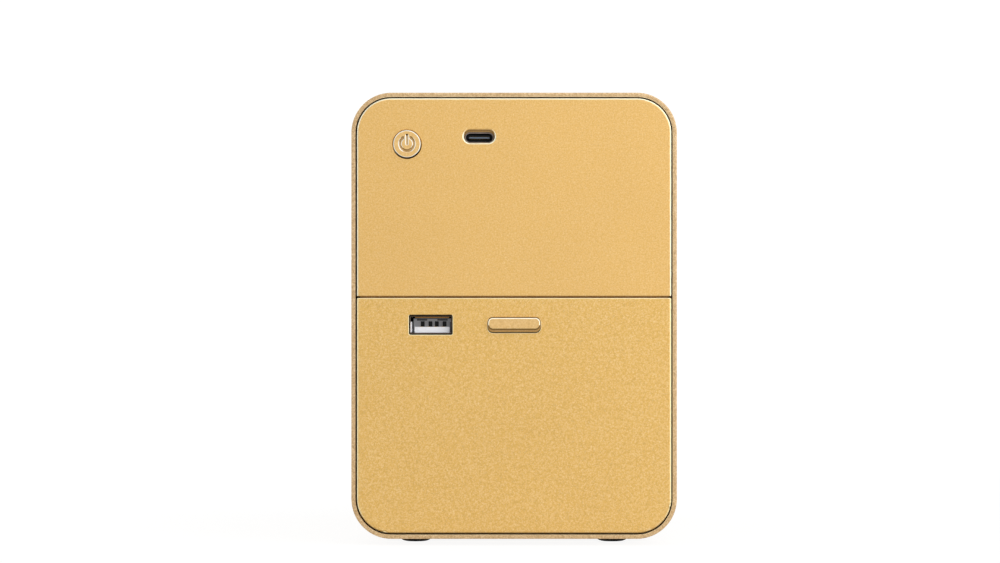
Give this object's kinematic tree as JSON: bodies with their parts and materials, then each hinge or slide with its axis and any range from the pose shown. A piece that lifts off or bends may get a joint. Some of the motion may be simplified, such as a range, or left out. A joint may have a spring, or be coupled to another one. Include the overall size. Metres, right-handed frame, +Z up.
{
  "type": "nail art printer",
  "caption": "Desktop nail art printer: a rounded sleeve with a finger port, a gantry print head, a rear door with a release button, a power button and sockets.",
  "frame": {"origin": "on the floor under the middle of the body", "axes": "+Z up, the finger port faces -Y, the covers with the buttons and sockets face +Y"},
  "size_m": [0.1, 0.16, 0.139],
  "materials": {
    "champagne_sleeve": "satin champagne paint with a fine metallic grain",
    "gold_panel": "satin gold paint with a fine metallic grain",
    "foot_rubber": "matte black",
    "soft_seal": "soft dark grey",
    "pad_silicone": "soft pale silicone",
    "liner_plastic": "fine spark-eroded white",
    "frame_plastic": "moulded black",
    "mechanism_plastic": "moulded dark grey, glass filled",
    "ink_cartridge_plastic": "gloss black",
    "steel_ground": "ground bright",
    "spring_steel": "spring temper",
    "motor_can": "zinc plated",
    "screw_steel": "zinc plated",
    "socket_shell": "bright nickel",
    "bronze_bush": "sintered bronze",
    "nozzle_gold": "polished",
    "socket_white": "moulded white",
    "socket_black": "moulded black",
    "board_green": "green solder mask",
    "component_black": "moulded black and plated",
    "lamp_white": "white solder mask with lamps",
    "camera_black": "black with a glass lens",
    "light_guide": "milky, lit from behind",
    "belt_rubber": "moulded black",
    "ribbon_film": "amber polyimide film"
  },
  "bodies": {
    "root": {"outer_sleeve": "champagne_sleeve", "rear_upper_cover": "gold_panel", "front_fascia": "gold_panel", "port_bezel": "champagne_sleeve", "finger_well": "liner_plastic", "finger_rest": "liner_plastic", "finger_pad": "pad_silicone", "status_light": "light_guide", "rubber_feet": "foot_rubber", "latch_keeper": "spring_steel", "power_switch": "socket_black", "base_tray": "frame_plastic", "front_bulkhead": "frame_plastic", "rear_bulkhead": "frame_plastic", "board_deck": "frame_plastic", "y_guide_rods": "steel_ground", "y_motor": "motor_can", "cap_base": "frame_plastic", "cap_spring": "spring_steel", "wiper_blade": "soft_seal", "main_board": "board_green", "board_components": "component_black", "io_board": "board_green", "usb_c_shell": "socket_shell", "usb_c_tongue": "socket_black", "usb_a_board": "board_green", "usb_a_shell": "socket_shell", "usb_a_tongue": "socket_white", "camera_module": "camera_black", "light_ring": "lamp_white", "head_ribbon": "ribbon_film", "casing_screws": "screw_steel", "chassis_screws": "screw_steel", "board_screws": "screw_steel"},
    "door": {"rear_door": "gold_panel", "door_hinge_pins": "steel_ground", "latch_pivot_pin": "steel_ground", "latch_spring": "spring_steel"},
    "release": {"latch_button": "gold_panel"},
    "lever": {"latch_lever": "mechanism_plastic"},
    "power": {"power_button": "gold_panel", "switch_plunger": "socket_black"},
    "gantry": {"gantry_frame": "mechanism_plastic", "gantry_bushes": "bronze_bush", "x_guide_rods": "steel_ground", "x_motor": "motor_can", "lead_nut": "bronze_bush", "x_belt": "belt_rubber"},
    "head": {"head_carriage": "mechanism_plastic", "carriage_bushes": "bronze_bush", "belt_clip": "mechanism_plastic", "ink_cartridge": "ink_cartridge_plastic", "nozzle_plate": "nozzle_gold"},
    "clamp": {"cartridge_latch": "mechanism_plastic"},
    "drive_pulley": {"x_drive_pulley": "mechanism_plastic"},
    "idler_pulley": {"x_idler_pulley": "mechanism_plastic"},
    "feed_screw": {"lead_screw": "steel_ground"},
    "cap": {"cap_sled": "frame_plastic", "cap_seal": "soft_seal"}
  },
  "joints": [
    {"name": "door_hinge", "type": "hinge", "parent": "root", "child": "door", "pos_m": [0, 0.0759, 0.0154], "axis": [-1, 0, 0], "range_deg": [0, 80], "deforming": ["latch_keeper"]},
    {"name": "release_press", "type": "slide", "parent": "door", "child": "release", "axis": [0, -1, 0], "range_m": [0, 0.0012], "stiffness_N_per_m": 900, "springref_m": -0.0008},
    {"name": "lever_tip", "type": "hinge", "parent": "door", "child": "lever", "pos_m": [0, 0.0716, 0.0632], "axis": [1, 0, 0], "range_deg": [0, 13.6]},
    {"name": "power_press", "type": "slide", "parent": "root", "child": "power", "axis": [0, -1, 0], "range_m": [0, 0.0006], "stiffness_N_per_m": 1500, "springref_m": -0.0004},
    {"name": "gantry_feed", "type": "slide", "parent": "root", "child": "gantry", "axis": [0, -1, 0], "range_m": [0, 0.06], "deforming": ["head_ribbon"]},
    {"name": "head_sweep", "type": "slide", "parent": "gantry", "child": "head", "axis": [1, 0, 0], "range_m": [-0.013, 0.013], "deforming": ["head_ribbon"]},
    {"name": "drive_pulley_spin", "type": "hinge", "parent": "gantry", "child": "drive_pulley", "pos_m": [0.029, 0.034, 0.08], "axis": [0, 0, 1], "range_deg": [-204.5, 204.5]},
    {"name": "idler_pulley_spin", "type": "hinge", "parent": "gantry", "child": "idler_pulley", "pos_m": [-0.029, 0.034, 0.08], "axis": [0, 0, 1], "range_deg": [-204.5, 204.5]},
    {"name": "feed_screw_spin", "type": "hinge", "parent": "root", "child": "feed_screw", "pos_m": [-0.0395, 0, 0.036], "axis": [0, 1, 0], "range_deg": [0, 5401]},
    {"name": "clamp_flip", "type": "hinge", "parent": "head", "child": "clamp", "pos_m": [0, 0.0535, 0.0772], "axis": [1, 0, 0], "range_deg": [0, 75]},
    {"name": "cap_press", "type": "slide", "parent": "root", "child": "cap", "axis": [0, 0, 1], "range_m": [-0.0025, 0], "stiffness_N_per_m": 250, "springref_m": 0.002, "deforming": ["cap_spring"]}
  ],
  "couplings": [
    {"joint": "lever_tip", "follows": "release_press", "rad_per_m": 195},
    {"joint": "drive_pulley_spin", "follows": "head_sweep", "rad_per_m": 273.22},
    {"joint": "idler_pulley_spin", "follows": "head_sweep", "rad_per_m": 273.22},
    {"joint": "feed_screw_spin", "follows": "gantry_feed", "rad_per_m": 1570.8}
  ]
}
